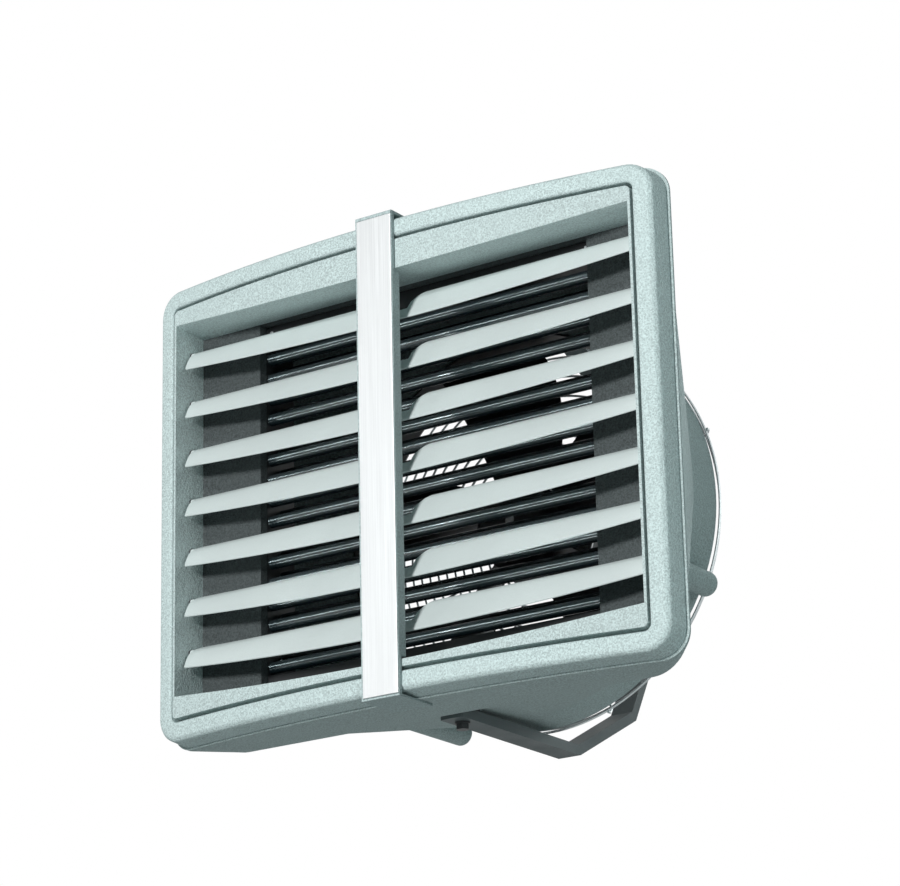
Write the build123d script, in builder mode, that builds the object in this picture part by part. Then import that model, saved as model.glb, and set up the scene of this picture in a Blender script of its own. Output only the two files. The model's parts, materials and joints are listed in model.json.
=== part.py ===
from build123d import *
import math
import os

os.makedirs("parts", exist_ok=True)

# Driving dimensions, millimetres. The frame's origin is the middle of the
# console's wall face; +Y points into the wall, +Z up, the air leaves along -Y.
# "Depth" below is counted from the plane of the front frame's side edges.
WALL_DEPTH = 545.0      # side edges of the front frame to the wall face
FACE_W, FACE_H = 672.0, 540.0   # front face between its chamfers
BOW = 33.0              # how far the middle of the face stands forward
FRAME_W, FRAME_H = 684.0, 552.0
FRAME_DEEP = 31.6       # face to seam
FRAME_R = 30.0
OPEN_W, OPEN_H, OPEN_R = 634.6, 502.6, 8.0
SHELL_W, SHELL_H = 687.0, 555.0
FAN_Z = -15.0           # height of the fan axis
RIM_R, RIM_DEPTH = 239.0, 291.0
BORE_R = 228.0
DUCT_W, DUCT_H = 630.0, 494.0
DUCT_IN = 312.0         # half width of the air channel
DUCT_BACK = 47.6
BAFFLE_T = 12.0
WINDOW_X, WINDOW_Z = 227.0, 226.0
TUBE_R, TUBE_PITCH = 7.0, 25.0
TUBE_ROW_1, TUBE_ROW_2 = 69.0, 91.0
LOUVRE_TOP, LOUVRE_PITCH, LOUVRES = 177.3, 60.5, 7
LOUVRE_HALF = 309.0
PIVOT_DY, PIVOT_DZ = 26.0, 20.6   # louvre pin, from the louvre's own datum
PIN_R, BUSH_BORE = 2.5, 2.55
SWIVEL_DEPTH = 118.0
ARM_W, ARM_T = 30.0, 12.0
ARM_IN = 264.6          # inner face of each console arm from mid height
BOLT_R, ARM_HOLE_R = 4.0, 4.05
BOSS_R, BOSS_PCR, BOSS_END = 14.5, 253.0, 281.0
BOSS_ANGLES = (64.7, 154.7, 244.7, 334.7)
WALL_HOLE_R, WALL_HOLE_PITCH = 5.5, 110.0

RB = (BOW**2 + (FACE_W / 2) ** 2) / (2 * BOW)


def bow(x):
    return -(math.sqrt(RB**2 - x**2) - math.sqrt(RB**2 - (FACE_W / 2) ** 2))


def at_y(d):
    """Upright sketch plane at a depth: x is X, y is Z, its normal points forward."""
    return Plane(origin=(0, d - WALL_DEPTH, 0), x_dir=(1, 0, 0), z_dir=(0, -1, 0))


def at_z(z):
    return Plane(origin=(0, -WALL_DEPTH, z), x_dir=(1, 0, 0), z_dir=(0, 0, 1))


def at_x(x):
    return Plane(origin=(x, -WALL_DEPTH, 0), x_dir=(0, 1, 0), z_dir=(1, 0, 0))


def save(built, name):
    built.part.label = name
    export_step(built.part, "parts/" + name + ".step")


def bowed(half, front, back_bow, back):
    """Outline seen from above: bowed front edge, bowed or straight back edge."""
    a = (-half, bow(half) + front)
    b = (half, bow(half) + front)
    ThreePointArc(a, (0, -BOW + front), b)
    if back_bow:
        c = (half, bow(half) + back)
        d = (-half, bow(half) + back)
        Line(b, c)
        ThreePointArc(c, (0, -BOW + back), d)
        Line(d, a)
    else:
        Line(b, (half, back))
        Line((half, back), (-half, back))
        Line((-half, back), a)


# ------------------------------------------------------------- front frame
with BuildPart() as front_frame:
    with BuildSketch(at_z(-FRAME_H / 2)):
        with BuildLine():
            bowed(FRAME_W / 2, 0, True, FRAME_DEEP)
        make_face()
    extrude(amount=FRAME_H)
    fillet(front_frame.edges().filter_by(Axis.Y), FRAME_R)
    lip = front_frame.faces().sort_by(Axis.Y)[0]
    chamfer(lip.outer_wire().edges(), 4.8)
    with BuildSketch(at_y(80)):
        RectangleRounded(OPEN_W, OPEN_H, OPEN_R)
    extrude(amount=160, mode=Mode.SUBTRACT)
    face = front_frame.faces().sort_by(Axis.Y)[0]
    chamfer(face.inner_wires()[0].edges(), 2.6)
save(front_frame, "front_frame")

# -------------------------------------------------------------- rear shell
with BuildPart() as rear_shell:
    with BuildSketch(at_z(-SHELL_H / 2)):
        with BuildLine():
            bowed(SHELL_W / 2, FRAME_DEEP, False, FRAME_DEEP + 4)
        make_face()
    extrude(amount=SHELL_H)
    fillet(rear_shell.edges().filter_by(Axis.Y), FRAME_R + 2)
    with BuildSketch(at_y(FRAME_DEEP + 4)):
        RectangleRounded(SHELL_W, SHELL_H, 32)
    with BuildSketch(at_y(80)):
        RectangleRounded(632, SHELL_H - 1, 46)
    loft(ruled=True)
    with BuildSketch(at_y(80)):
        RectangleRounded(632, SHELL_H - 1, 46)
    with BuildSketch(at_y(90)):
        RectangleRounded(616, 524, 60)
    loft(ruled=True)
    with BuildSketch(at_y(90)):
        RectangleRounded(616, 524, 60)
    with BuildSketch(at_y(240)):
        with Locations((0, FAN_Z)):
            RectangleRounded(2 * RIM_R, 2 * RIM_R, RIM_R - 0.5)
    loft()
    with BuildSketch(at_y(RIM_DEPTH)):
        with Locations((0, FAN_Z)):
            Circle(RIM_R)
    extrude(amount=RIM_DEPTH - 239.9)
    # four feet beside the rim
    with BuildSketch(at_y(BOSS_END)):
        with Locations((0, FAN_Z)):
            with PolarLocations(BOSS_PCR, 4, start_angle=BOSS_ANGLES[0]):
                Circle(BOSS_R)
    extrude(amount=BOSS_END - 150)
    ends = rear_shell.faces().filter_by(Axis.Y).filter_by(
        lambda f: abs(f.center().Y - (BOSS_END - WALL_DEPTH)) < 0.1)
    fillet([e for f in ends for e in f.edges().filter_by(GeomType.CIRCLE)], 6)
    # swivel seats above and below
    with BuildSketch(at_z(-ARM_IN + 2)):
        with Locations((0, SWIVEL_DEPTH)):
            Circle(22)
    extrude(amount=30)
    with BuildSketch(at_z(ARM_IN - 2)):
        with Locations((0, SWIVEL_DEPTH)):
            Circle(22)
    extrude(amount=-30)
    # inside
    with BuildSketch(at_y(60.2)):
        RectangleRounded(633, 497, 7)
    extrude(amount=120, mode=Mode.SUBTRACT)
    with BuildSketch(at_y(60.2)):
        RectangleRounded(572, 484, 30)
    with BuildSketch(at_y(226)):
        with Locations((0, FAN_Z)):
            RectangleRounded(2 * BORE_R, 2 * BORE_R, BORE_R - 0.5)
    loft(mode=Mode.SUBTRACT)
    with BuildSketch(at_y(RIM_DEPTH)):
        with Locations((0, FAN_Z)):
            Circle(BORE_R)
    extrude(amount=RIM_DEPTH - 225.8, mode=Mode.SUBTRACT)
    with BuildSketch(at_y(283)):
        with Locations((0, FAN_Z)):
            Circle(BORE_R)
    with BuildSketch(at_y(RIM_DEPTH + 0.5)):
        with Locations((0, FAN_Z)):
            Circle(BORE_R + 5.8)
    loft(mode=Mode.SUBTRACT)
    # pockets of the swivel's threaded inserts and of the feet's screws
    with BuildSketch(at_z(-ARM_IN + 2)):
        with Locations((0, SWIVEL_DEPTH)):
            Circle(7)
    extrude(amount=16, mode=Mode.SUBTRACT)
    with BuildSketch(at_z(ARM_IN - 2)):
        with Locations((0, SWIVEL_DEPTH)):
            Circle(7)
    extrude(amount=-16, mode=Mode.SUBTRACT)
    with BuildSketch(at_y(BOSS_END)):
        with Locations((0, FAN_Z)):
            with PolarLocations(BOSS_PCR, 4, start_angle=BOSS_ANGLES[0]):
                Circle(2.5)
    extrude(amount=24, mode=Mode.SUBTRACT)
save(rear_shell, "rear_shell")

# --------------------------------------------------------------- air channel
TOP_MID, TOP_END = 212.0, 229.0
BOT_MID, BOT_END = -239.0, -221.3
BACK_TOP, BACK_BOT = 226.0, -226.0
CUT_Y = -46.0


def lip_z(x, mid, end, back):
    """Height of the channel wall where it is cut, ahead of the bowed face."""
    z = mid + (end - mid) * (x / DUCT_IN) ** 2
    y = bow(x)
    return back + (z - back) * (CUT_Y - DUCT_BACK) / (y - DUCT_BACK)


with BuildPart() as air_channel:
    with BuildSketch(at_z(-DUCT_H / 2)):
        with BuildLine():
            bowed(DUCT_W / 2, 0.6, False, DUCT_BACK)
        make_face()
    extrude(amount=DUCT_H)
    fillet(air_channel.edges().filter_by(Axis.Y), 6)
    xs = [DUCT_IN * k / 4 for k in range(-4, 5)]
    with BuildSketch(at_y(CUT_Y)):
        with BuildLine():
            top = [(x, lip_z(x, TOP_MID, TOP_END, BACK_TOP)) for x in xs]
            bot = [(x, lip_z(x, BOT_MID, BOT_END, BACK_BOT)) for x in xs]
            Spline(*top)
            Line(top[-1], bot[-1])
            Spline(*bot[::-1])
            Line(bot[0], top[0])
        make_face()
    with BuildSketch(at_y(DUCT_BACK)):
        with BuildLine():
            Line((-DUCT_IN, BACK_TOP), (DUCT_IN, BACK_TOP))
            Line((DUCT_IN, BACK_TOP), (DUCT_IN, BACK_BOT))
            Line((DUCT_IN, BACK_BOT), (-DUCT_IN, BACK_BOT))
            Line((-DUCT_IN, BACK_BOT), (-DUCT_IN, BACK_TOP))
        make_face()
    loft(ruled=True, mode=Mode.SUBTRACT)
    for side in (-1, 1):
        with BuildSketch(at_x(side * (DUCT_IN - 1))):
            with Locations(*[(PIVOT_DY, LOUVRE_TOP - LOUVRE_PITCH * k + PIVOT_DZ) for k in range(LOUVRES)]):
                Circle(4.5)
        extrude(amount=side * 10, mode=Mode.SUBTRACT)
save(air_channel, "air_channel")

with BuildPart() as louvre_bushes:
    for side in (-1, 1):
        with BuildSketch(at_x(side * (DUCT_IN - 1.2))):
            with Locations(*[(PIVOT_DY, LOUVRE_TOP - LOUVRE_PITCH * k + PIVOT_DZ) for k in range(LOUVRES)]):
                Circle(4.5)
                Circle(BUSH_BORE, mode=Mode.SUBTRACT)
        extrude(amount=side * 4.2)
save(louvre_bushes, "louvre_bushes")

with BuildPart() as baffle_plate:
    with BuildSketch(at_y(DUCT_BACK + BAFFLE_T)):
        RectangleRounded(DUCT_W, DUCT_H, 6)
        Rectangle(2 * WINDOW_X, 2 * WINDOW_Z, mode=Mode.SUBTRACT)
    extrude(amount=BAFFLE_T)
save(baffle_plate, "baffle_plate")

# ------------------------------------------------------------------ louvres
# One section is (depth, height) of the blade's outline from its own datum.
END_SEC = [(10.6, 0.0), (18.5, 12.5), (42.5, 29.2), (41.6, 31.4), (22.6, 23.6), (14.6, 13.6), (9.4, 1.4)]
MID_SEC = [(-6.2, -16.2), (18.0, 13.5), (43.0, 26.0), (42.2, 28.4), (22.2, 23.8), (10.0, 9.6), (-7.6, -14.8)]


def section(x):
    t = 1 - (x / LOUVRE_HALF) ** 2
    return [(a + (c - a) * t, b + (d - b) * t) for (a, b), (c, d) in zip(END_SEC, MID_SEC)]


for k in range(LOUVRES):
    z0 = LOUVRE_TOP - LOUVRE_PITCH * k
    with BuildPart() as louvre:
        for x in (-LOUVRE_HALF, -155, 0, 155, LOUVRE_HALF):
            with BuildSketch(at_x(x)):
                with BuildLine():
                    Polyline(*[(y, z + z0) for y, z in section(x)], close=True)
                make_face()
        loft()
        for side in (-1, 1):
            with BuildSketch(at_x(side * (LOUVRE_HALF - 6))):
                with Locations((PIVOT_DY, z0 + PIVOT_DZ)):
                    Circle(PIN_R)
            extrude(amount=side * (DUCT_IN + 2.4 - LOUVRE_HALF + 6))
        # the blade is cut away behind its lip at the bar
        with BuildSketch(at_z(z0 - 20)):
            with BuildLine():
                Polyline((-17, 2.5), (-15.5, 10), (-27, 22), (-30, 48), (30, 48), (27, 22), (15.5, 10), (17, 2.5), close=True)
            make_face()
        extrude(amount=60, mode=Mode.SUBTRACT)
    save(louvre, "louvre_%d" % (k + 1))

# -------------------------------------------------------------- centre bar
BAR_W, BAR_FRONT = 50.0, -38.6
with BuildPart() as bar_carrier:
    with BuildSketch(at_y(-33.2)):
        with Locations((0, 0.4)):
            Rectangle(BAR_W, 561.2)
    extrude(amount=-33.2 - BAR_FRONT)
    with BuildSketch(at_y(-25)):
        with Locations((0, -13.5)):
            Rectangle(BAR_W, 443)
    extrude(amount=8.4)
    for z, t in ((277.6, 3.4), (-277.6, -2.6)):
        with BuildSketch(at_z(z)):
            with Locations((0, (24 + BAR_FRONT) / 2)):
                Rectangle(BAR_W, 24 - BAR_FRONT)
        extrude(amount=t)
    # shallow seat of the trim plate
    with BuildSketch(at_y(BAR_FRONT + 0.8)):
        with Locations((0.6, -0.5)):
            Rectangle(47.4, 554.6)
    extrude(amount=2, mode=Mode.SUBTRACT)
save(bar_carrier, "bar_carrier")

with BuildPart() as bar_plate:
    with BuildSketch(at_y(BAR_FRONT + 0.8)):
        with Locations((0.6, -0.5)):
            Rectangle(46.6, 553.8)
    extrude(amount=1.8)
    chamfer(bar_plate.faces().sort_by(Axis.Y)[0].edges(), 0.4)
save(bar_plate, "bar_plate")

# ---------------------------------------------------------------- tube bank
ROW_1 = [(TUBE_ROW_1, 187.5 - TUBE_PITCH * k) for k in range(16)]
ROW_2 = [(TUBE_ROW_2, 175.0 - TUBE_PITCH * k) for k in range(15)]
for name, row in (("tubes_front_row", ROW_1), ("tubes_back_row", ROW_2)):
    with BuildPart() as tubes:
        with BuildSketch(at_x(-236)):
            with Locations(*row):
                Circle(TUBE_R)
                Circle(TUBE_R - 1, mode=Mode.SUBTRACT)
        extrude(amount=472)
    save(tubes, name)

for name, side in (("tube_plate_left", -1), ("tube_plate_right", 1)):
    with BuildPart() as tube_plate:
        with BuildSketch(at_x(side * WINDOW_X)):
            with Locations((86, 0)):
                Rectangle(52, 410)
            with Locations(*(ROW_1 + ROW_2)):
                Circle(TUBE_R, mode=Mode.SUBTRACT)
        extrude(amount=side * 3)
        with BuildSketch(at_y(62)):
            with Locations((side * (WINDOW_X + 12), 0)):
                Rectangle(24, 2 * WINDOW_Z)
        extrude(amount=2)
    save(tube_plate, name)

for name, side in (("tube_header_top", 1), ("tube_header_bottom", -1)):
    with BuildPart() as header:
        with BuildSketch(at_x(-WINDOW_X + 0.2)):
            with BuildLine():
                Polyline((60, side * 199), (112, side * 199), (112, side * 201), (62, side * 201),
                         (62, side * 226), (60, side * 226), close=True)
            make_face()
        extrude(amount=2 * WINDOW_X - 0.4)
    save(header, name)

with BuildPart() as tube_rivets:
    for dx, dz in ((219, 218), (211, 209)):
        with BuildSketch(at_y(60)):
            with GridLocations(2 * dx, 2 * dz, 2, 2):
                Circle(2.2)
        extrude(amount=1.2)
    tops = tube_rivets.faces().filter_by(Axis.Y).group_by(Axis.Y)[0]
    fillet(tops.edges(), 0.8)
save(tube_rivets, "tube_rivets")

# --------------------------------------------------------- inlet and guard
with BuildPart() as inlet_ring:
    with BuildSketch(at_x(0)):
        with BuildLine():
            Polyline((230, FAN_Z + 225), (284, FAN_Z + 225), (293.4, FAN_Z + 231), (293.4, FAN_Z + 236),
                     (291.4, FAN_Z + 236), (291.4, FAN_Z + 232), (283, FAN_Z + 227), (230, FAN_Z + 227), close=True)
        make_face()
    revolve(axis=Axis((0, 0, FAN_Z), (0, 1, 0)))
save(inlet_ring, "inlet_ring")

WIRE = 1.5
GUARD_Y = 310.0
ring_radii = [75 + 12.15 * k for k in range(14)]
with BuildPart() as guard_rings:
    for r in ring_radii:
        with BuildSketch(at_x(0)):
            with Locations((GUARD_Y, FAN_Z + r)):
                Circle(WIRE)
        revolve(axis=Axis((0, 0, FAN_Z), (0, 1, 0)))
    with BuildSketch(at_x(0)):
        with Locations((297.0, FAN_Z + 240.2)):
            Circle(WIRE)
    revolve(axis=Axis((0, 0, FAN_Z), (0, 1, 0)))
save(guard_rings, "guard_rings")

with BuildPart() as guard_arms:
    for k in range(8):
        a = math.radians(BOSS_ANGLES[0] + 45 * k)
        c, s = math.cos(a), math.sin(a)
        path = [(57, GUARD_Y - 3), (236, GUARD_Y - 3), (243.2, 299), (243.2, 295)]
        if k % 2 == 0:
            path[-1] = (243.2, BOSS_END + 3.5)
            path.append((248, BOSS_END + 3.5))
        spots = [Vector(r * c, y - WALL_DEPTH, FAN_Z + r * s) for r, y in path]
        for p, q in zip(spots, spots[1:]):
            with BuildSketch(Plane(origin=p, z_dir=q - p)):
                Circle(WIRE)
            extrude(amount=(q - p).length)
        with Locations(*spots[1:-1]):
            Sphere(WIRE)
save(guard_arms, "guard_arms")

with BuildPart() as guard_feet:
    with BuildSketch(at_y(BOSS_END + 2)):
        with Locations((0, FAN_Z)):
            with PolarLocations(BOSS_PCR, 4, start_angle=BOSS_ANGLES[0]):
                Circle(8)
                Circle(2.5, mode=Mode.SUBTRACT)
    extrude(amount=2)
save(guard_feet, "guard_feet")

with BuildPart() as guard_screws:
    with BuildSketch(at_y(BOSS_END + 5)):
        with Locations((0, FAN_Z)):
            with PolarLocations(BOSS_PCR, 4, start_angle=BOSS_ANGLES[0]):
                Circle(4.2)
    extrude(amount=3)
    with BuildSketch(at_y(BOSS_END + 3)):
        with Locations((0, FAN_Z)):
            with PolarLocations(BOSS_PCR, 4, start_angle=BOSS_ANGLES[0]):
                Circle(2.5)
    extrude(amount=25)
    with BuildSketch(at_y(BOSS_END + 5)):
        with Locations((0, FAN_Z)):
            with PolarLocations(BOSS_PCR, 4, start_angle=BOSS_ANGLES[0]):
                Rectangle(5, 1.2)
                Rectangle(1.2, 5)
    extrude(amount=1.4, mode=Mode.SUBTRACT)
save(guard_screws, "guard_screws")

# -------------------------------------------------------------------- motor
with BuildPart() as motor_plate:
    with BuildSketch(at_y(GUARD_Y - 4.5)):
        with Locations((0, FAN_Z)):
            Circle(68)
            with PolarLocations(30, 4, start_angle=45):
                Circle(2.5, mode=Mode.SUBTRACT)
    extrude(amount=2.5)
save(motor_plate, "motor_plate")

with BuildPart() as motor_stator:
    with BuildSketch(at_y(GUARD_Y - 7)):
        with Locations((0, FAN_Z)):
            Circle(46)
    extrude(amount=14)
    with BuildSketch(at_y(GUARD_Y - 21)):
        with Locations((0, FAN_Z)):
            Circle(34)
    extrude(amount=42)
    with BuildSketch(at_y(GUARD_Y - 7)):
        with Locations((0, FAN_Z)):
            Circle(11)
    extrude(amount=56, mode=Mode.SUBTRACT)
    with BuildSketch(at_y(GUARD_Y - 7)):
        with Locations((0, FAN_Z)):
            with PolarLocations(30, 4, start_angle=45):
                Circle(2.5)
    extrude(amount=12, mode=Mode.SUBTRACT)
save(motor_stator, "motor_stator")

with BuildPart() as motor_screws:
    with BuildSketch(at_y(GUARD_Y - 1.5)):
        with Locations((0, FAN_Z)):
            with PolarLocations(30, 4, start_angle=45):
                Circle(4.5)
    extrude(amount=3)
    with BuildSketch(at_y(GUARD_Y - 4)):
        with Locations((0, FAN_Z)):
            with PolarLocations(30, 4, start_angle=45):
                Circle(2.5)
    extrude(amount=14)
save(motor_screws, "motor_screws")

with BuildPart() as motor_bearings:
    for y in (GUARD_Y - 9, GUARD_Y - 54):
        with BuildSketch(at_y(y)):
            with Locations((0, FAN_Z)):
                Circle(11)
                Circle(6.05, mode=Mode.SUBTRACT)
        extrude(amount=8)
save(motor_bearings, "motor_bearings")

with BuildPart() as motor_rotor:
    with BuildSketch(at_y(GUARD_Y - 24)):
        with Locations((0, FAN_Z)):
            Circle(48)
    extrude(amount=60)
    fillet(motor_rotor.faces().sort_by(Axis.Y)[0].edges(), 8)
    with BuildSketch(at_y(GUARD_Y - 24)):
        with Locations((0, FAN_Z)):
            Circle(44)
    extrude(amount=54, mode=Mode.SUBTRACT)
    with BuildSketch(at_y(GUARD_Y - 78)):
        with Locations((0, FAN_Z)):
            Circle(6)
    extrude(amount=12, mode=Mode.SUBTRACT)
save(motor_rotor, "motor_rotor")

with BuildPart() as motor_shaft:
    with BuildSketch(at_y(GUARD_Y - 9)):
        with Locations((0, FAN_Z)):
            Circle(6)
    extrude(amount=75)
save(motor_shaft, "motor_shaft")

BLADES, TIP_R, HUB_R = 5, 220.0, 56.0
with BuildPart() as fan_hub:
    with BuildSketch(at_y(GUARD_Y - 30)):
        with Locations((0, FAN_Z)):
            Circle(HUB_R)
            Circle(48, mode=Mode.SUBTRACT)
    extrude(amount=38)
save(fan_hub, "fan_hub")

with BuildPart() as fan_blades:
    for r, chord, pitch, sweepdeg in ((HUB_R - 1.5, 72, 42, 0), (110, 104, 33, 6), (165, 128, 26, 14), (TIP_R, 138, 21, 24)):
        a, g = math.radians(pitch), math.radians(sweepdeg)
        mid = GUARD_Y - 49
        u = (-r * math.sin(g) * 0.55, mid - WALL_DEPTH, r)
        with BuildSketch(Plane(origin=(u[0], u[1], FAN_Z + r), x_dir=(math.cos(a), math.sin(a), 0), z_dir=(0, 0, 1))):
            with BuildLine():
                h = chord / 2
                ThreePointArc((-h, -2), (0, chord * 0.07), (h, -2))
                Line((h, -2), (h, -4.2))
                ThreePointArc((h, -4.2), (0, chord * 0.07 - 3.0), (-h, -4.2))
                Line((-h, -4.2), (-h, -2))
            make_face()
    loft()
    with BuildSketch(at_y(GUARD_Y - 20)):
        with Locations((0, FAN_Z)):
            Circle(TIP_R)
            Circle(HUB_R, mode=Mode.SUBTRACT)
    extrude(amount=80, mode=Mode.INTERSECT)
one_blade = fan_blades.part
with BuildPart() as fan_blades:
    for k in range(BLADES):
        add(one_blade.rotate(Axis((0, 0, FAN_Z), (0, 1, 0)), 360 / BLADES * k))
save(fan_blades, "fan_blades")

# ------------------------------------------------------------- terminal box
with BuildPart() as terminal_box:
    with BuildSketch(at_y(GUARD_Y + 30)):
        with Locations((0, FAN_Z)):
            RectangleRounded(104, 84, 8)
    extrude(amount=31.5)
    with BuildSketch(at_y(GUARD_Y + 30)):
        with Locations((0, FAN_Z)):
            RectangleRounded(98, 78, 6)
            with GridLocations(84, 64, 2, 2):
                Circle(6, mode=Mode.SUBTRACT)
    extrude(amount=27, mode=Mode.SUBTRACT)
    with BuildSketch(at_y(GUARD_Y + 30)):
        with Locations((0, FAN_Z)):
            with GridLocations(84, 64, 2, 2):
                Circle(1.8)
    extrude(amount=16, mode=Mode.SUBTRACT)
    with BuildSketch(at_x(-52)):
        with Locations((GUARD_Y + 16, FAN_Z)):
            Circle(7.6)
    extrude(amount=8, mode=Mode.SUBTRACT)
save(terminal_box, "terminal_box")

with BuildPart() as terminal_box_lid:
    with BuildSketch(at_y(GUARD_Y + 35)):
        with Locations((0, FAN_Z)):
            RectangleRounded(106, 86, 9)
    extrude(amount=5)
    fillet(terminal_box_lid.faces().sort_by(Axis.Y)[-1].edges(), 2)
    with BuildSketch(at_y(GUARD_Y + 36)):
        with Locations((0, FAN_Z)):
            with GridLocations(84, 64, 2, 2):
                Circle(1.8)
    extrude(amount=10, mode=Mode.SUBTRACT)
save(terminal_box_lid, "terminal_box_lid")

with BuildPart() as lid_screws:
    with BuildSketch(at_y(GUARD_Y + 37)):
        with Locations((0, FAN_Z)):
            with GridLocations(84, 64, 2, 2):
                Circle(3.4)
    extrude(amount=2)
    with BuildSketch(at_y(GUARD_Y + 36)):
        with Locations((0, FAN_Z)):
            with GridLocations(84, 64, 2, 2):
                Circle(1.8)
    extrude(amount=20)
    with BuildSketch(at_y(GUARD_Y + 37)):
        with Locations((0, FAN_Z)):
            with GridLocations(84, 64, 2, 2):
                Rectangle(4.4, 0.9)
    extrude(amount=1, mode=Mode.SUBTRACT)
save(lid_screws, "lid_screws")

with BuildPart() as cable_gland:
    with BuildSketch(at_x(-46)):
        with Locations((GUARD_Y + 16, FAN_Z)):
            Circle(7.6)
    extrude(amount=-6)
    with BuildSketch(at_x(-52)):
        with Locations((GUARD_Y + 16, FAN_Z)):
            RegularPolygon(11, 6)
    extrude(amount=-5)
    with BuildSketch(at_x(-57)):
        with Locations((GUARD_Y + 16, FAN_Z)):
            RegularPolygon(10, 6)
    extrude(amount=-13)
    fillet(cable_gland.faces().sort_by(Axis.X)[0].edges(), 2)
    with BuildSketch(at_x(-46)):
        with Locations((GUARD_Y + 16, FAN_Z)):
            Circle(4.5)
    extrude(amount=-26, mode=Mode.SUBTRACT)
save(cable_gland, "cable_gland")

# ------------------------------------------------------------------ console
outer = [(95, -ARM_IN - ARM_T), (340, -ARM_IN - ARM_T), (469, -211), (WALL_DEPTH, -80),
         (WALL_DEPTH, 80), (469, 211), (340, ARM_IN + ARM_T), (95, ARM_IN + ARM_T)]


def inset(points, t):
    """The same open line moved to its left by t, with mitred corners."""
    out = []
    for i, (y, z) in enumerate(points):
        dirs = []
        if i > 0:
            dirs.append((y - points[i - 1][0], z - points[i - 1][1]))
        if i < len(points) - 1:
            dirs.append((points[i + 1][0] - y, points[i + 1][1] - z))
        ns = []
        for dy, dz in dirs:
            n = math.hypot(dy, dz)
            ns.append((-dz / n, dy / n))
        if len(ns) == 1:
            ny, nz = ns[0]
            k = 1
        else:
            ny, nz = ns[0][0] + ns[1][0], ns[0][1] + ns[1][1]
            k = 2 / (ny * ny + nz * nz)
        out.append((y + ny * t * k, z + nz * t * k))
    return out


with BuildPart() as console_bracket:
    with BuildSketch(at_x(-ARM_W / 2)):
        with BuildLine():
            Polyline(*(outer + inset(outer, ARM_T)[::-1]), close=True)
        make_face()
    extrude(amount=ARM_W)
    bends = console_bracket.edges().filter_by(Axis.X).filter_by(
        lambda e: e.center().Y > 100 - WALL_DEPTH)
    fillet(bends, 3)
    chamfer(console_bracket.edges().filter_by(Axis.Z).filter_by(
        lambda e: e.center().Y < 100 - WALL_DEPTH), 2)
    with BuildSketch(at_z(-400)):
        with Locations((0, SWIVEL_DEPTH)):
            Circle(ARM_HOLE_R)
    extrude(amount=800, mode=Mode.SUBTRACT)
    with BuildSketch(at_y(WALL_DEPTH)):
        with GridLocations(1, WALL_HOLE_PITCH, 1, 2):
            Circle(WALL_HOLE_R)
    extrude(amount=30, mode=Mode.SUBTRACT)
save(console_bracket, "console_bracket")

with BuildPart() as swivel_washers:
    for s in (-1, 1):
        with BuildSketch(at_z(s * (ARM_IN - 2))):
            with Locations((0, SWIVEL_DEPTH)):
                Circle(20)
                Circle(4.3, mode=Mode.SUBTRACT)
        extrude(amount=s * 1.98)
save(swivel_washers, "swivel_washers")

with BuildPart() as swivel_inserts:
    for s in (-1, 1):
        with BuildSketch(at_z(s * (ARM_IN - 2))):
            with Locations((0, SWIVEL_DEPTH)):
                Circle(7)
                Circle(BOLT_R, mode=Mode.SUBTRACT)
        extrude(amount=-s * 16)
save(swivel_inserts, "swivel_inserts")

with BuildPart() as swivel_bolts:
    for s in (-1, 1):
        base = s * (ARM_IN + ARM_T + 0.05)
        with BuildSketch(at_z(base)):
            with Locations((0, SWIVEL_DEPTH)):
                Circle(8.6)
        extrude(amount=s * 2.2)
        with BuildSketch(at_z(base + s * 2.2)):
            with Locations((0, SWIVEL_DEPTH)):
                RegularPolygon(6.6, 6, major_radius=False)
        extrude(amount=s * 6.4)
        with BuildSketch(at_z(base)):
            with Locations((0, SWIVEL_DEPTH)):
                Circle(BOLT_R)
        extrude(amount=-s * 29)
save(swivel_bolts, "swivel_bolts")
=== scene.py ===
import json
import math

import bmesh
import bpy
from mathutils import Matrix, Vector

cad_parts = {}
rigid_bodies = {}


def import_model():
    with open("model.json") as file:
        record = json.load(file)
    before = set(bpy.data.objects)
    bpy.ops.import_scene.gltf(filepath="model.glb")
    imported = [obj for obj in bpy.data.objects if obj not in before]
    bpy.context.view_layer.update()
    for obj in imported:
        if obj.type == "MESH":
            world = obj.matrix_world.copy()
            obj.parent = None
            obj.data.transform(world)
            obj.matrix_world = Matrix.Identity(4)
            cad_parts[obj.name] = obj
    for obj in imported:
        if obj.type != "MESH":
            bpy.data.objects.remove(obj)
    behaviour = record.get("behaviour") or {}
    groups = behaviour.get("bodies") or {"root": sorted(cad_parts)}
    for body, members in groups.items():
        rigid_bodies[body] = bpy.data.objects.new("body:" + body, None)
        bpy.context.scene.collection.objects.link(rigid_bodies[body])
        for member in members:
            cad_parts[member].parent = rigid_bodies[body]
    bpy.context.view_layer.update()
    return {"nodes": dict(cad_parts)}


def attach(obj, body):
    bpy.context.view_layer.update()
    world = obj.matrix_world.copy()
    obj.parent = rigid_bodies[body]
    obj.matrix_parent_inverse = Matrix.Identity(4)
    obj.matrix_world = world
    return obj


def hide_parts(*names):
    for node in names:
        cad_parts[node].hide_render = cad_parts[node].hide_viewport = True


for o in list(bpy.data.objects):
    bpy.data.objects.remove(o)

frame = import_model()
NODES = frame["nodes"]

Y0 = -0.545  # plane of the front frame's side edges


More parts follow.
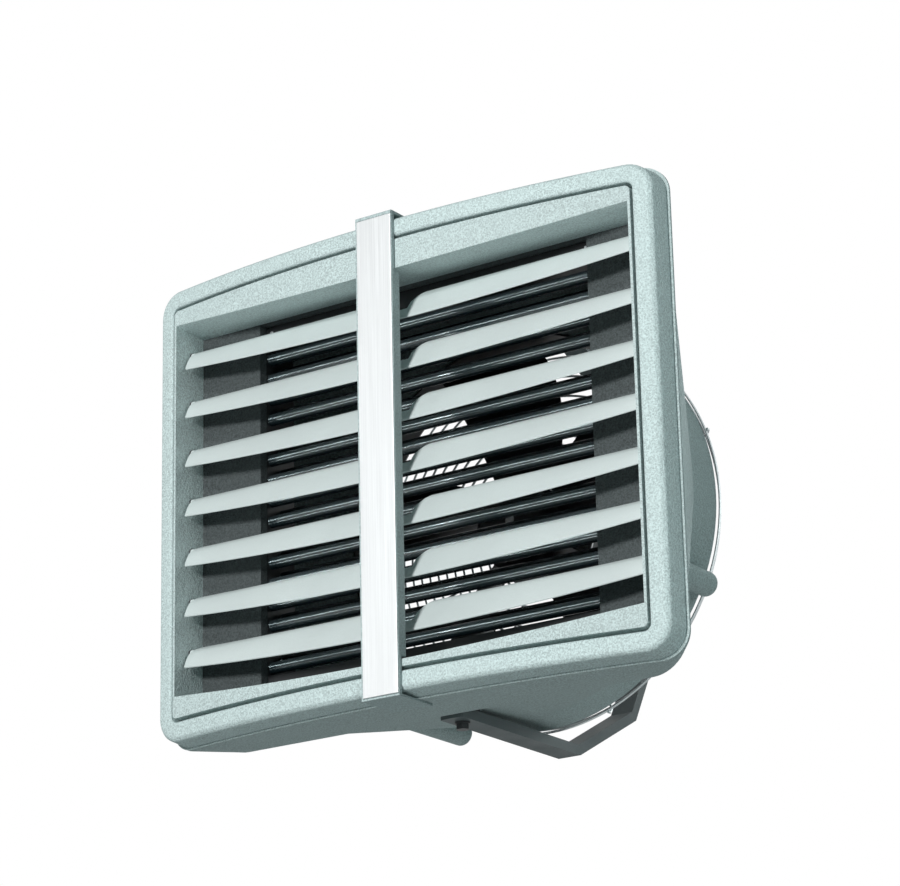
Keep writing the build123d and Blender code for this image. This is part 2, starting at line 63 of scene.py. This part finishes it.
# ---------------------------------------------------------------- materials
class Tree:
    """Short names for building one material's nodes."""

    def __init__(self, name):
        self.mat = bpy.data.materials.new(name)
        self.mat.use_nodes = True
        self.t = self.mat.node_tree
        self.bsdf = self.t.nodes["Principled BSDF"]
        self.coord = self.t.nodes.new("ShaderNodeTexCoord").outputs["Object"]

    def node(self, kind, **inputs):
        n = self.t.nodes.new(kind)
        for key, value in inputs.items():
            key = key.replace("_", " ")
            if isinstance(value, bpy.types.NodeSocket):
                self.t.links.new(value, n.inputs[key])
            else:
                n.inputs[key].default_value = value
        return n

    def scaled(self, sx, sy, sz):
        n = self.node("ShaderNodeMapping", Vector=self.coord)
        n.inputs["Scale"].default_value = (sx, sy, sz)
        return n.outputs["Vector"]

    def noise(self, scale, detail=3.0, rough=0.55, vector=None):
        n = self.node("ShaderNodeTexNoise", Vector=vector or self.coord, Scale=scale, Detail=detail, Roughness=rough)
        return n.outputs["Fac"]

    def cells(self, scale, feature="F1", smooth=0.0):
        n = self.t.nodes.new("ShaderNodeTexVoronoi")
        n.feature = feature
        self.t.links.new(self.coord, n.inputs["Vector"])
        n.inputs["Scale"].default_value = scale
        return n.outputs["Distance"]

    def ramp(self, fac, lo, hi, a, b):
        """A value, or a colour, that goes from a to b as fac goes from lo to hi."""
        n = self.t.nodes.new("ShaderNodeValToRGB")
        self.t.links.new(fac, n.inputs["Fac"])
        e = n.color_ramp.elements
        e[0].position, e[1].position = lo, hi
        e[0].color = (*a, 1) if isinstance(a, tuple) else (a, a, a, 1)
        e[1].color = (*b, 1) if isinstance(b, tuple) else (b, b, b, 1)
        return n.outputs["Color"]

    def mix(self, fac, a, b, kind="MIX"):
        n = self.t.nodes.new("ShaderNodeMix")
        n.data_type = "RGBA"
        n.blend_type = kind
        for sock, value in ((n.inputs[0], fac), (n.inputs[6], a), (n.inputs[7], b)):
            if isinstance(value, bpy.types.NodeSocket):
                self.t.links.new(value, sock)
            elif isinstance(value, tuple):
                sock.default_value = (*value, 1)
            else:
                sock.default_value = value
        return n.outputs[2]

    def maths(self, op, a, b=0.5):
        n = self.t.nodes.new("ShaderNodeMath")
        n.operation = op
        for sock, value in ((n.inputs[0], a), (n.inputs[1], b)):
            if isinstance(value, bpy.types.NodeSocket):
                self.t.links.new(value, sock)
            else:
                sock.default_value = value
        return n.outputs[0]

    def up(self):
        """1 on faces that look up, 0 on faces that look down."""
        g = self.t.nodes.new("ShaderNodeNewGeometry")
        s = self.t.nodes.new("ShaderNodeSeparateXYZ")
        self.t.links.new(g.outputs["Normal"], s.inputs[0])
        return self.maths("MULTIPLY_ADD", s.outputs["Z"], 0.5)

    def bump(self, height, strength, distance, normal=None):
        n = self.node("ShaderNodeBump", Height=height, Strength=strength, Distance=distance)
        if normal is not None:
            self.t.links.new(normal, n.inputs["Normal"])
        return n.outputs["Normal"]

    def set(self, **values):
        for key, value in values.items():
            key = key.replace("_", " ")
            sock = self.bsdf.inputs[key]
            if isinstance(value, bpy.types.NodeSocket):
                self.t.links.new(value, sock)
            elif isinstance(value, tuple):
                sock.default_value = (*value, 1)
            else:
                sock.default_value = value
        return self.mat


def shade(c, k):
    return tuple(v * k for v in c)


def foam(name, colour, grain=1.0, spec=0.35):
    """Moulded bead foam with a fine pebbled skin."""
    m = Tree(name)
    fine = m.noise(520, 2.0, 0.6)
    soft = m.noise(240, 3.0, 0.6)
    beads = m.cells(300)
    wide = m.noise(9, 3.0)
    skin = m.ramp(fine, 0.40, 0.60, shade(colour, 1 - 0.32 * grain), shade(colour, 1 + 0.20 * grain))
    skin = m.mix(m.ramp(soft, 0.35, 0.65, 0.0, 0.5), skin, shade(colour, 0.97))
    skin = m.mix(m.ramp(wide, 0.4, 0.7, 0.0, 0.35), skin, shade(colour, 1.04))
    pits = m.ramp(beads, 0.0, 0.09, 1.0, 0.0)
    skin = m.mix(m.maths("MULTIPLY", pits, 0.12 * grain), skin, shade(colour, 0.6))
    n = m.bump(soft, 0.5 * grain, 0.0016)
    n = m.bump(fine, 0.9 * grain, 0.0011, n)
    n = m.bump(beads, 0.12 * grain, 0.0008, n)
    return m.set(Base_Color=skin, Roughness=m.ramp(fine, 0.3, 0.7, 0.62, 0.8), Specular_IOR_Level=spec, Normal=n)


def plastic(name, colour, rough=0.42, grain=0.3, scale=700, coat=0.0):
    m = Tree(name)
    fine = m.noise(scale, 2.0)
    wide = m.noise(7, 4.0)
    c = m.ramp(wide, 0.35, 0.7, shade(colour, 0.95), shade(colour, 1.04))
    c = m.mix(m.ramp(fine, 0.4, 0.6, 0.0, 0.25), c, shade(colour, 0.9))
    return m.set(
        Base_Color=c,
        Roughness=m.ramp(m.noise(30, 4.0), 0.3, 0.7, rough - 0.05, rough + 0.07),
        Normal=m.bump(fine, grain, 0.00025),
        Coat_Weight=coat,
        Coat_Roughness=0.2,
    )


def painted(name, colour, rough=0.3, peel=0.15, chips=0.0, coat=0.0, scale=160):
    m = Tree(name)
    peelmap = m.noise(scale, 2.0)
    wide = m.noise(5, 4.0)
    c = m.ramp(wide, 0.35, 0.7, shade(colour, 0.85), shade(colour, 1.15))
    if chips:
        spots = m.ramp(m.noise(240, 4.0, 0.7), 0.72, 0.75, 0.0, chips)
        c = m.mix(spots, c, (0.3, 0.31, 0.32))
    dust = m.maths("MULTIPLY", m.up(), 0.05)
    c = m.mix(dust, c, (0.45, 0.46, 0.46))
    return m.set(
        Base_Color=c,
        Roughness=m.ramp(m.noise(22, 4.0), 0.3, 0.7, rough - 0.06, rough + 0.08),
        Normal=m.bump(peelmap, peel, 0.0003),
        Coat_Weight=coat,
        Coat_Roughness=0.08,
    )


def metal(name, colour, rough=0.3, along="Z", streak=0.25, wide_amount=0.06):
    """Brushed or ground metal; the lines run along one axis."""
    m = Tree(name)
    s = {"X": (6, 900, 900), "Y": (900, 6, 900), "Z": (900, 900, 6), "": (300, 300, 300)}[along]
    lines = m.noise(1.0, 4.0, 0.7, m.scaled(*s))
    wide = m.noise(11, 3.0)
    c = m.ramp(lines, 0.3, 0.7, shade(colour, 0.9), shade(colour, 1.06))
    c = m.mix(m.ramp(wide, 0.4, 0.7, 0.0, wide_amount), c, shade(colour, 0.8))
    return m.set(
        Base_Color=c,
        Metallic=1.0,
        Roughness=m.ramp(lines, 0.25, 0.75, rough - 0.08, rough + 0.1),
        Normal=m.bump(lines, streak, 0.0001),
    )


FOAM = (0.565, 0.675, 0.67)
M = {
    "foam_light": foam("foam_light_skin", FOAM),
    "foam_dark": foam("foam_dark_skin", (0.085, 0.10, 0.102), 1.3, 0.3),
    "louvre": plastic("louvre_satin", (0.68, 0.755, 0.745), 0.38, 0.10, 500, 0.1),
    "bush": plastic("bush_plastic", (0.06, 0.06, 0.065)),
    "carrier": foam("carrier_grain", (0.46, 0.56, 0.56), 0.9, 0.4),
    "trim": metal("trim_brushed", (0.715, 0.735, 0.74), 0.42, "Z", 0.55, 0.03),
    "tube": painted("tube_gloss", (0.004, 0.008, 0.010), 0.17, 0.0, 0.0, 0.4, 90),
    "tube_sheet": painted("tube_sheet_paint", (0.016, 0.018, 0.02), 0.38, 0.2),
    "zinc": metal("zinc_bright", (0.86, 0.89, 0.90), 0.42, "", 0.12, 0.2),
    "black_plastic": plastic("black_grain", (0.018, 0.02, 0.021), 0.5, 0.4),
    "motor": metal("motor_cast", (0.30, 0.31, 0.32), 0.5, "", 0.5, 0.4),
    "rotor": painted("rotor_paint", (0.02, 0.021, 0.024), 0.35, 0.25),
    "steel": metal("steel_turned", (0.6, 0.61, 0.62), 0.32, "", 0.2, 0.2),
    "blade": painted("blade_paint", (0.014, 0.016, 0.018), 0.34, 0.25, 0.15),
    "box": plastic("box_grain", (0.035, 0.04, 0.043), 0.52, 0.45),
    "nylon": plastic("nylon_black", (0.025, 0.026, 0.027), 0.4, 0.1),
    "brass": metal("brass_turned", (0.72, 0.56, 0.27), 0.28, "", 0.2, 0.2),
    "bolt": painted("bolt_oxide", (0.022, 0.025, 0.027), 0.42, 0.3, 0.3, 0.0, 500),
    "console": painted("console_powder", (0.10, 0.122, 0.126), 0.5, 0.45, 0.12, 0.0, 620),
}

# The rear shell gets the same foam painted 20% darker: painted shade for its sides that face back, away from the
# lamps.
M["foam_shell"] = foam("foam_shell_skin", shade(FOAM, 0.8))
for name, o in NODES.items():
    for s in o.material_slots:
        base = s.material.name.split(".")[0] if s.material else ""
        if base in M:
            s.material = M["foam_shell" if name == "rear_shell" else base]


def smooth_by_weld(name, width, segments=3, angle=28):
    """Rounds the sharp edges of a CAD piece by a small radius."""
    o = NODES[name]
    w = o.modifiers.new("join", "WELD")
    w.merge_threshold = 2e-6
    b = o.modifiers.new("round", "BEVEL")
    b.width = width
    b.segments = segments
    b.limit_method = "ANGLE"
    b.angle_limit = math.radians(angle)
    b.use_clamp_overlap = True
    b.miter_outer = "MITER_ARC"
    b.harden_normals = True
    return o


for name, width in (
    ("air_channel", 0.0009),
    ("bar_carrier", 0.0009),
    ("bar_plate", 0.0003),
    ("console_bracket", 0.0006),
    ("baffle_plate", 0.0008),
    ("tube_header_top", 0.0005),
    ("tube_header_bottom", 0.0005),
):
    smooth_by_weld(name, width)


# ------------------------------------------------------------------- pieces
def new_mesh(name, verts, faces, slot, body, smooth=True):
    me = bpy.data.meshes.new(name)
    me.from_pydata([tuple(v) for v in verts], [], faces)
    me.validate()
    bm = bmesh.new()
    bm.from_mesh(me)
    bmesh.ops.remove_doubles(bm, verts=bm.verts, dist=1e-7)
    bmesh.ops.dissolve_degenerate(bm, edges=bm.edges, dist=1e-7)
    bmesh.ops.recalc_face_normals(bm, faces=bm.faces)
    bm.to_mesh(me)
    bm.free()
    if smooth:
        for p in me.polygons:
            p.use_smooth = True
    o = bpy.data.objects.new(name, me)
    bpy.context.scene.collection.objects.link(o)
    me.materials.append(M[slot])
    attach(o, body)
    return o


def sharpen(o, degrees=35):
    """Marks edges steeper than this angle as sharp."""
    me = o.data
    bm = bmesh.new()
    bm.from_mesh(me)
    lim = math.radians(degrees)
    for e in bm.edges:
        if len(e.link_faces) == 2 and e.calc_face_angle(0) > lim:
            e.smooth = False
    bm.to_mesh(me)
    bm.free()


# Front frame: a bowed ring with drafted sides, a chamfered rim and a rolled inner edge.
RB = (33.0**2 + 336.0**2) / 66.0


def bow(x):
    return -(math.sqrt(RB**2 - x * x) - math.sqrt(RB**2 - 336.0**2))


def ring_points(hx, hz, r, w):
    """A rounded rectangle wrapped on the bowed face, w behind it, in metres."""
    flat = []
    for cx, cz, start in ((1, 1, 0), (-1, 1, 90), (-1, -1, 180), (1, -1, 270)):
        for i in range(15):
            a = math.radians(start + 90 * i / 14)
            flat.append((cx * (hx - r) + r * math.cos(a), cz * (hz - r) + r * math.sin(a)))
        a = math.radians(start + 90)
        p = flat[-1]
        nx, nz = {0: (-1, 1), 90: (-1, -1), 180: (1, -1), 270: (1, 1)}[start]
        if start in (0, 180):
            q = (nx * (hx - r), nz * hz)
        else:
            q = (nx * hx, nz * (hz - r))
        for i in range(1, 40):
            flat.append((p[0] + (q[0] - p[0]) * i / 40, p[1] + (q[1] - p[1]) * i / 40))
    return [(x / 1000, Y0 + (bow(min(336.0, abs(x))) + w) / 1000, z / 1000) for x, z in flat]


FRAME_SECTION = [
    (317.3, 251.3, 8.0, 31.6), (317.3, 251.3, 8.0, 30.9), (317.3, 251.3, 8.0, 3.6), (317.4, 251.4, 8.1, 2.6),
    (317.9, 251.9, 8.6, 1.5), (318.8, 252.8, 9.5, 0.7), (319.9, 253.9, 10.5, 0.2), (321.2, 255.2, 11.8, 0.0),
    (327.0, 261.0, 18.0, 0.0), (333.6, 267.6, 24.6, 0.0), (334.9, 268.9, 25.9, 0.15), (336.0, 270.0, 27.0, 0.7),
    (338.0, 272.0, 29.0, 2.9), (338.8, 272.8, 29.8, 4.0), (339.2, 273.2, 30.2, 5.2), (339.4, 273.4, 30.4, 6.4),
    (341.2, 275.2, 32.2, 28.9), (341.3, 275.3, 32.3, 30.2), (341.0, 275.0, 32.0, 31.1), (340.2, 274.2, 31.2, 31.6),
]


def front_frame():
    rings = [ring_points(*s) for s in FRAME_SECTION]
    n = len(rings[0])
    verts = [v for r in rings for v in r]
    faces = []
    for j in range(len(rings)):
        k = (j + 1) % len(rings)
        for i in range(n):
            faces.append((j * n + i, j * n + (i + 1) % n, k * n + (i + 1) % n, k * n + i))
    o = new_mesh("front_frame_moulding", verts, faces, "foam_light", "housing")
    sharpen(o, 50)
    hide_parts("front_frame")


# Louvre blades: a moulded wing section, lofted along a bowed line.
END_SEC = [(10.6, 0.0), (18.5, 12.5), (42.5, 29.2), (41.6, 31.4), (22.6, 23.6), (14.6, 13.6), (9.4, 1.4)]
MID_SEC = [(-6.2, -16.2), (18.0, 13.5), (43.0, 26.0), (42.2, 28.4), (22.2, 23.8), (10.0, 9.6), (-7.6, -14.8)]
TIGHT = (0, 2, 3, 6)
HALF, PIN_X = 0.309, 0.3144


def outline(t):
    """The section's rounded outline at share t from the ends to the middle, in millimetres."""
    sec = [(a + (c - a) * t, b + (d - b) * t) for (a, b), (c, d) in zip(END_SEC, MID_SEC)]
    pts = []
    n = len(sec)
    for i, p in enumerate(sec):
        if i in TIGHT:
            for j in (i - 1, i + 1):
                q = sec[j % n]
                d = math.hypot(q[0] - p[0], q[1] - p[1])
                k = min(1.3, d * 0.45) / d
                r = (p[0] + (q[0] - p[0]) * k, p[1] + (q[1] - p[1]) * k)
                if j < i:
                    pts += [r, p]
                else:
                    pts.append(r)
        else:
            pts.append(p)
    for _ in range(3):
        out = []
        for i, p in enumerate(pts):
            q = pts[(i + 1) % len(pts)]
            out.append((p[0] * 0.75 + q[0] * 0.25, p[1] * 0.75 + q[1] * 0.25))
            out.append((p[0] * 0.25 + q[0] * 0.75, p[1] * 0.25 + q[1] * 0.75))
        pts = out
    return pts


def reach(x):
    """How deep the blade goes at x: behind its lip it is cut away round the bar."""
    x = abs(x)
    if x < 16.0:
        return 2.5
    if x < 27.0:
        return 10 + 12 * (x - 16.0) / 11
    return 22 + 28 * (x - 27.0) / 3 if x < 30.0 else 99.0


def clipped(pts, c):
    """The outline with what lies deeper than c drawn back to c, on either side."""
    far = max(range(len(pts)), key=lambda i: pts[i][0])
    near = min(range(len(pts)), key=lambda i: pts[i][0])
    n = len(pts)
    out = list(pts)
    for step in (1, -1):
        i, last, hit = near, pts[near], None
        while i != far:
            i = (i + step) % n
            y, z = pts[i]
            if y > c:
                if hit is None:
                    f = (c - last[0]) / (y - last[0])
                    hit = (c, last[1] + (z - last[1]) * f)
                out[i] = hit
            last = pts[i]
    return out


def louvre(k):
    z0 = 177.3 - 60.5 * (k - 1)
    verts, faces = [], []
    half = [i / 1000 / HALF for i in (5.0, 10.0, 15.0, 15.97, 16.03, 18.5, 21.0, 24.0, 27.0, 28.0, 29.0, 30.0)]
    half += [0.12 + 0.875 * i / 25 for i in range(26)] + [0.998, 1.0]
    xs = [-u for u in reversed(half)] + [0.0] + half
    shrink = {0: 0.8, 1: 0.25, len(xs) - 1: 0.8, len(xs) - 2: 0.25}
    rings = []
    for i, u in enumerate(xs):
        x = u * HALF
        pts = outline(1 - u * u)
        if reach(x * 1000) < 60:
            pts = clipped(pts, reach(x * 1000))
        cy = sum(p[0] for p in pts) / len(pts)
        cz = sum(p[1] for p in pts) / len(pts)
        s = shrink.get(i, 0.0)
        ring = []
        for y, z in pts:
            d = math.hypot(y - cy, z - cz)
            f = max(0.0, 1 - s * 0.35 / d)
            ring.append(len(verts))
            verts.append((x, Y0 + (cy + (y - cy) * f) / 1000, (z0 + cz + (z - cz) * f) / 1000))
        rings.append(ring)
    m = len(rings[0])
    for a, b in zip(rings, rings[1:]):
        for i in range(m):
            faces.append((a[i], a[(i + 1) % m], b[(i + 1) % m], b[i]))
    faces.append(tuple(rings[0]))
    faces.append(tuple(reversed(rings[-1])))
    # pins with a collar at each end
    for side in (-1, 1):
        prev = None
        for x, r in ((0.3055, 2.0), (0.3055, 4.2), (0.3102, 4.2), (0.3106, 3.8), (0.3106, 2.45), (PIN_X - 0.0005, 2.45), (PIN_X, 2.0)):
            ring = []
            for i in range(24):
                a = 2 * math.pi * i / 24
                ring.append(len(verts))
                verts.append((side * x, Y0 + (26.0 + r * math.cos(a)) / 1000, (z0 + 20.6 + r * math.sin(a)) / 1000))
            if prev:
                for i in range(24):
                    faces.append((prev[i], prev[(i + 1) % 24], ring[(i + 1) % 24], ring[i]))
            else:
                faces.append(tuple(ring))
            prev = ring
        faces.append(tuple(prev))
    o = new_mesh("louvre_blade_%d" % k, verts, faces, "louvre", "louvre_%d" % k)
    sharpen(o, 42)
    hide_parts("louvre_%d" % k)
    return o


front_frame()
for k in range(1, 8):
    louvre(k)

# --------------------------------------------------------------- the setting
floor = bpy.data.meshes.new("floor")
floor.from_pydata([(-4.5, -4.5, -2.7), (4.5, -4.5, -2.7), (4.5, 4.5, -2.7), (-4.5, 4.5, -2.7)], [], [(0, 1, 2, 3)])
floor_obj = bpy.data.objects.new("floor", floor)
bpy.context.scene.collection.objects.link(floor_obj)
fm = Tree("floor_pale")
floor.materials.append(
    fm.set(Base_Color=fm.ramp(fm.noise(0.8, 3.0), 0.3, 0.7, (0.80, 0.81, 0.81), (0.84, 0.85, 0.85)), Roughness=0.7)
)

world = bpy.data.worlds.new("studio")
bpy.context.scene.world = world
world.use_nodes = True
wt = world.node_tree
bg = wt.nodes["Background"]
bg.inputs["Color"].default_value = (0.68, 0.97, 1.0, 1)
bg.inputs["Strength"].default_value = 0.075
white = wt.nodes.new("ShaderNodeBackground")
white.inputs["Color"].default_value = (1, 1, 1, 1)
white.inputs["Strength"].default_value = 1.0
rays = wt.nodes.new("ShaderNodeLightPath")
both = wt.nodes.new("ShaderNodeMixShader")
sees = wt.nodes.new("ShaderNodeMath")
sees.operation = "MULTIPLY_ADD"
wt.links.new(rays.outputs["Is Glossy Ray"], sees.inputs[0])
sees.inputs[1].default_value = 0.6
wt.links.new(rays.outputs["Is Camera Ray"], sees.inputs[2])
wt.links.new(sees.outputs[0], both.inputs[0])
wt.links.new(bg.outputs[0], both.inputs[1])
wt.links.new(white.outputs[0], both.inputs[2])
wt.links.new(both.outputs[0], wt.nodes["World Output"].inputs["Surface"])

AIM = Vector((0, -0.5, 0))


def softbox(name, az, el, dist, size, power, colour=(1, 1, 1)):
    a, e = math.radians(az), math.radians(el)
    light = bpy.data.lights.new(name, "AREA")
    light.shape = "RECTANGLE"
    light.size, light.size_y = size
    light.energy = power
    light.color = colour
    o = bpy.data.objects.new(name, light)
    bpy.context.scene.collection.objects.link(o)
    away = Vector((math.sin(a) * math.cos(e), -math.cos(a) * math.cos(e), math.sin(e)))
    o.location = AIM + away * dist
    o.rotation_euler = away.to_track_quat("Z", "Y").to_euler()
    return o


softbox("key", 4, 4, 4.0, (0.5, 0.5), 112)
softbox("high", 8, 27, 4.0, (0.3, 0.3), 34)
softbox("strip", -34, 6, 4.0, (0.22, 2.6), 4)
softbox("wide", -34, 18, 4.0, (1.7, 1.7), 3.5)
side = softbox("right", 74, 6, 4.0, (2.0, 2.4), 33, (0.86, 1.0, 1.0))
low = softbox("low", 62, -38, 4.0, (1.8, 1.8), 7, (0.86, 1.0, 1.0))
softbox("left", -100, 20, 4.5, (2.2, 2.2), 16, (0.86, 1.0, 1.0))
softbox("rear", 178, 20, 4.5, (2.6, 2.0), 28, (0.86, 1.0, 1.0))
# the side light works on the outside of the housing only
outer = bpy.data.collections.new("outer_skin")
for name in ("rear_shell", "console_bracket", "guard_rings", "guard_arms", "swivel_bolts"):
    outer.objects.link(NODES[name])
outer.objects.link(bpy.data.objects["front_frame_moulding"])
side.light_linking.receiver_collection = outer
low.light_linking.receiver_collection = outer

# Two long thin lamps draw the lines of light along the round tubes, and reach nothing else.
bank = bpy.data.collections.new("tube_bank")
for name in ("tubes_front_row", "tubes_back_row"):
    bank.objects.link(bpy.data.objects[name])
for name, el, power in (("line_high", 16, 120), ("line_low", -26, 34)):
    lamp = softbox(name, -34, el, 4.0, (2.2, 0.07), power, (0.78, 0.97, 1.0))
    lamp.light_linking.receiver_collection = bank
    lamp.light_linking.blocker_collection = bank

# ------------------------------------------------------------------- camera
AZ, EL, ROLL = math.radians(34.03), math.radians(-18.63), math.radians(-1.326)
d = Vector((-math.sin(AZ) * math.cos(EL), math.cos(AZ) * math.cos(EL), -math.sin(EL)))
r0 = d.cross(Vector((0, 0, 1))).normalized()
u0 = r0.cross(d)
cx = math.cos(ROLL) * r0 + math.sin(ROLL) * u0
cy = -math.sin(ROLL) * r0 + math.cos(ROLL) * u0
cam = bpy.data.cameras.new("camera")
cam.sensor_fit = "HORIZONTAL"
cam.sensor_width = 36.0
cam.lens = 129.05
cam.clip_end = 60.0
cam_obj = bpy.data.objects.new("camera", cam)
bpy.context.scene.collection.objects.link(cam_obj)
m = Matrix((cx, cy, -d)).transposed().to_4x4()
m.translation = Vector((1.9490, -3.3253, -1.1268))
cam_obj.matrix_world = m
bpy.context.scene.camera = cam_obj
bpy.context.scene.view_settings.view_transform = "Standard"
